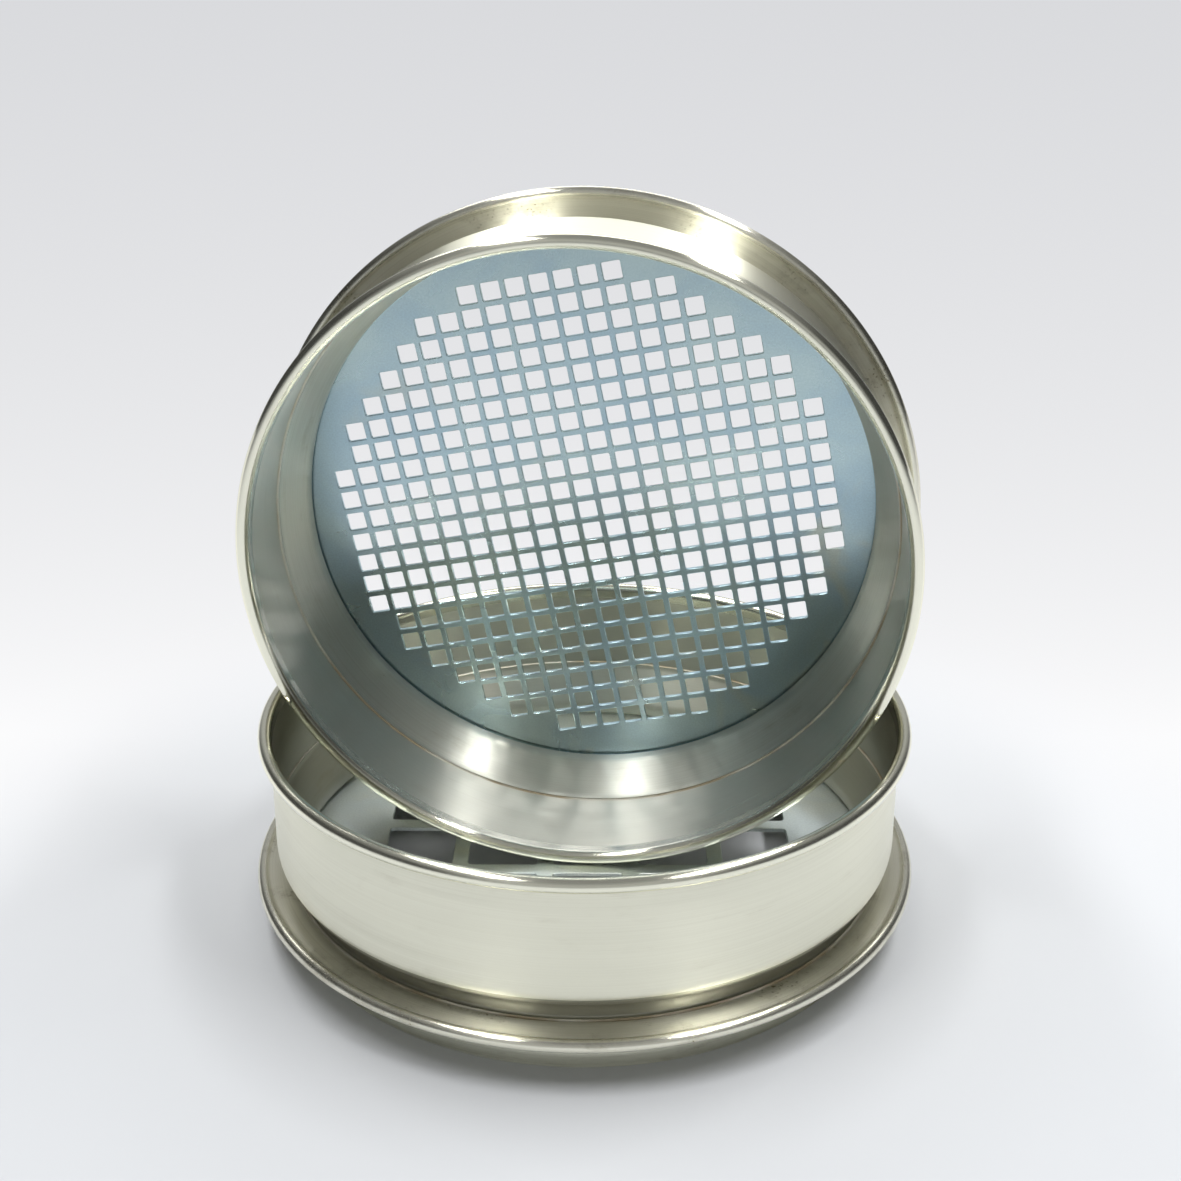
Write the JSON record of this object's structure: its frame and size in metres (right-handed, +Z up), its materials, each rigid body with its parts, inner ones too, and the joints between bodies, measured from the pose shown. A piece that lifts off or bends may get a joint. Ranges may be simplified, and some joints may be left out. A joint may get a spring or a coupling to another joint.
{
  "type": "soil sieve set",
  "caption": "Nesting soil sieves of spun sheet metal with square-holed punched plates, the fine one standing on edge in the coarse one.",
  "frame": {"origin": "centre of the coarse sieve's foot, on the surface it stands on", "axes": "+Z up along the coarse sieve's axis, -Y to the front, towards the fine sieve's mouth"},
  "size_m": [0.3235, 0.322, 0.3434],
  "materials": {
    "spun_sheet": "spun bright steel sheet with fine turning lines",
    "band_sheet": "spun bright steel sheet",
    "flange_sheet": "spun steel sheet, duller and scuffed",
    "skirt_sheet": "spun steel sheet, satin",
    "plate_zinc": "blue zinc-plated punched steel plate",
    "ring_wire": "drawn steel wire",
    "solder": "dull tin solder"
  },
  "bodies": {
    "coarse_sieve": {"coarse_wall_shell": "spun_sheet", "coarse_rim_wire": "ring_wire", "coarse_retaining_band": "band_sheet", "coarse_punched_plate": "plate_zinc", "coarse_flange_ring": "flange_sheet", "coarse_flange_wire": "ring_wire", "coarse_skirt_ring": "skirt_sheet", "coarse_band_solder": "solder", "coarse_flange_solder": "solder", "coarse_skirt_solder": "solder"},
    "fine_sieve": {"fine_wall_shell": "spun_sheet", "fine_rim_wire": "ring_wire", "fine_retaining_band": "band_sheet", "fine_punched_plate": "plate_zinc", "fine_flange_ring": "flange_sheet", "fine_flange_wire": "ring_wire", "fine_skirt_ring": "skirt_sheet", "fine_band_solder": "solder", "fine_flange_solder": "solder", "fine_skirt_solder": "solder"}
  },
  "joints": [
    {"name": "fine_lift", "type": "slide", "parent": "coarse_sieve", "child": "fine_sieve", "axis": [0, 0, 1], "range_m": [0, 0.12]}
  ]
}
